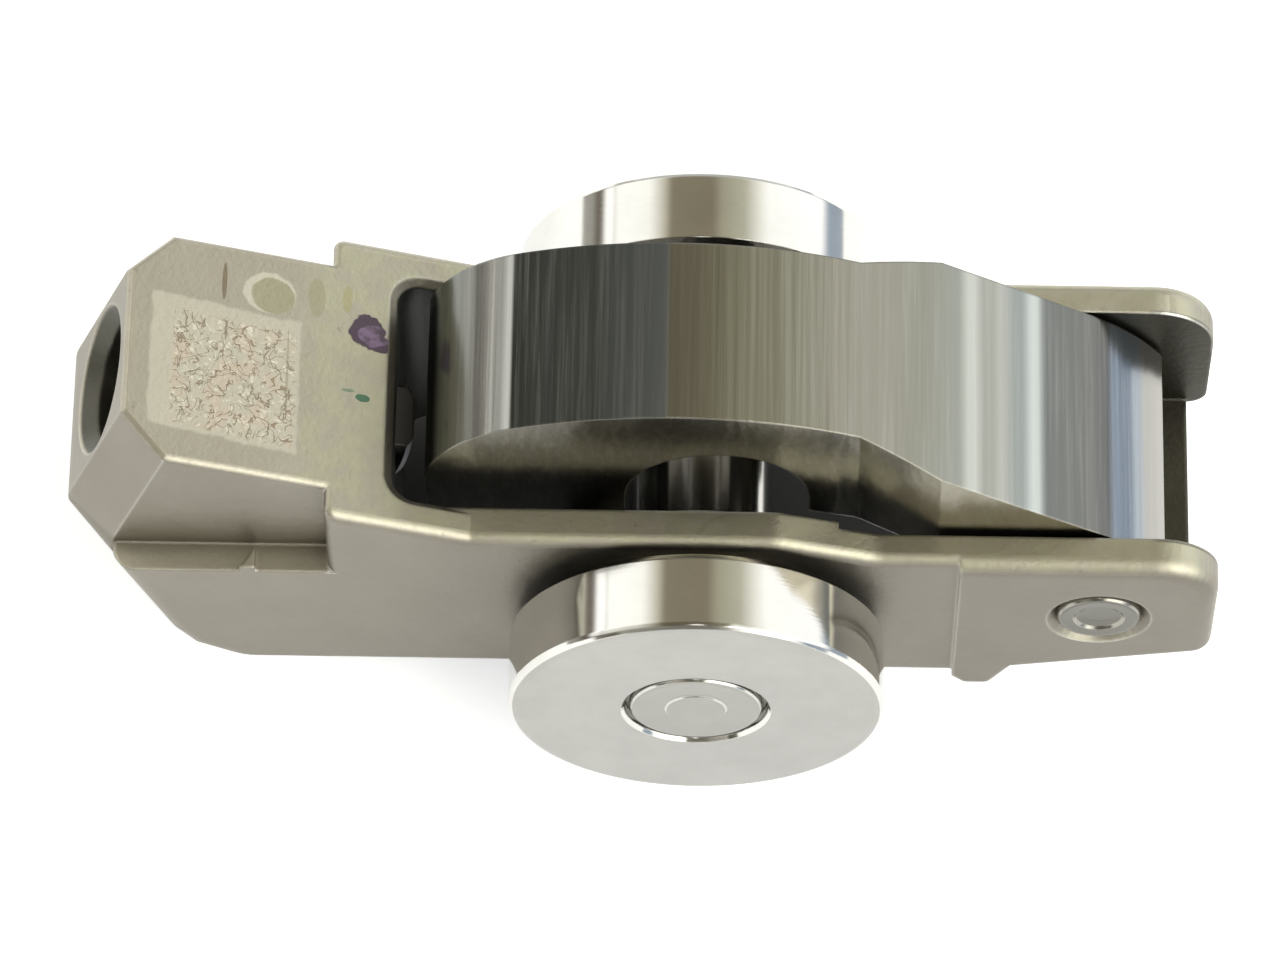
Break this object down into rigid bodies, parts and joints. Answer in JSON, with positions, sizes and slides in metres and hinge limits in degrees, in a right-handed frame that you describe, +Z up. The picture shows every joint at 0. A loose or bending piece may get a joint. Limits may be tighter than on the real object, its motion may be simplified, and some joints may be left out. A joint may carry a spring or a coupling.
{
  "type": "rocker arm",
  "caption": "Switchable roller finger follower rocker arm: slotted steel body with an angled latch housing, outboard rollers on a spinning axle and a hinged slider.",
  "frame": {"origin": "centre of the ball seat in the socket that sits on the lash adjuster", "axes": "+X along the arm to the valve end, +Y across it to the left-hand roller, +Z up with the arm lying at rest on both rollers and the socket's rim"},
  "size_m": [0.0584, 0.026, 0.0259],
  "materials": {
    "body_steel": "satin",
    "ground_steel": "polished",
    "roller_steel": "ground",
    "pin_steel": "ground",
    "bearing_steel": "polished",
    "latch_steel": "satin",
    "spring_steel": "satin"
  },
  "bodies": {
    "body": {"outer_arm": "body_steel", "pivot_pin": "pin_steel", "right_bearing_cup": "bearing_steel", "left_bearing_cup": "bearing_steel", "latch_plug": "latch_steel", "lost_motion_spring": "spring_steel", "latch_spring": "spring_steel"},
    "slider": {"slider_arm": "ground_steel"},
    "spool": {"roller_axle": "pin_steel", "right_roller": "roller_steel", "left_roller": "roller_steel"},
    "needles": {"right_needle_01": "bearing_steel", "left_needle_01": "bearing_steel", "right_needle_02": "bearing_steel", "left_needle_02": "bearing_steel", "right_needle_03": "bearing_steel", "left_needle_03": "bearing_steel", "right_needle_04": "bearing_steel", "left_needle_04": "bearing_steel", "right_needle_05": "bearing_steel", "left_needle_05": "bearing_steel", "right_needle_06": "bearing_steel", "left_needle_06": "bearing_steel", "right_needle_07": "bearing_steel", "left_needle_07": "bearing_steel", "right_needle_08": "bearing_steel", "left_needle_08": "bearing_steel", "right_needle_09": "bearing_steel", "left_needle_09": "bearing_steel", "right_needle_10": "bearing_steel", "left_needle_10": "bearing_steel", "right_needle_11": "bearing_steel", "left_needle_11": "bearing_steel", "right_needle_12": "bearing_steel", "left_needle_12": "bearing_steel", "right_needle_13": "bearing_steel", "left_needle_13": "bearing_steel", "right_needle_14": "bearing_steel", "left_needle_14": "bearing_steel", "right_needle_15": "bearing_steel", "left_needle_15": "bearing_steel", "right_needle_16": "bearing_steel", "left_needle_16": "bearing_steel", "right_needle_17": "bearing_steel", "left_needle_17": "bearing_steel"},
    "latch": {"latch_pin": "latch_steel"}
  },
  "joints": [
    {"name": "slider_pivot", "type": "hinge", "parent": "body", "child": "slider", "pos_m": [0.03984, 0, 0.0113], "axis": [0, -1, 0], "range_deg": [0, 24], "stiffness_Nm_per_rad": 2, "springref_deg": -15, "deforming": ["lost_motion_spring"]},
    {"name": "roller_spin", "type": "hinge", "parent": "body", "child": "spool", "pos_m": [0.02002, 0, 0.00663], "axis": [0, 1, 0], "continuous": true},
    {"name": "needle_orbit", "type": "hinge", "parent": "body", "child": "needles", "pos_m": [0.02002, 0, 0.00663], "axis": [0, 1, 0], "continuous": true},
    {"name": "latch_slide", "type": "slide", "parent": "body", "child": "latch", "axis": [0.9825, 0, -0.1864], "range_m": [0, 0.0024], "stiffness_N_per_m": 900, "springref_m": -0.0015, "deforming": ["latch_spring"]}
  ],
  "couplings": [
    {"joint": "needle_orbit", "follows": "roller_spin", "ratio": 0.4119}
  ]
}
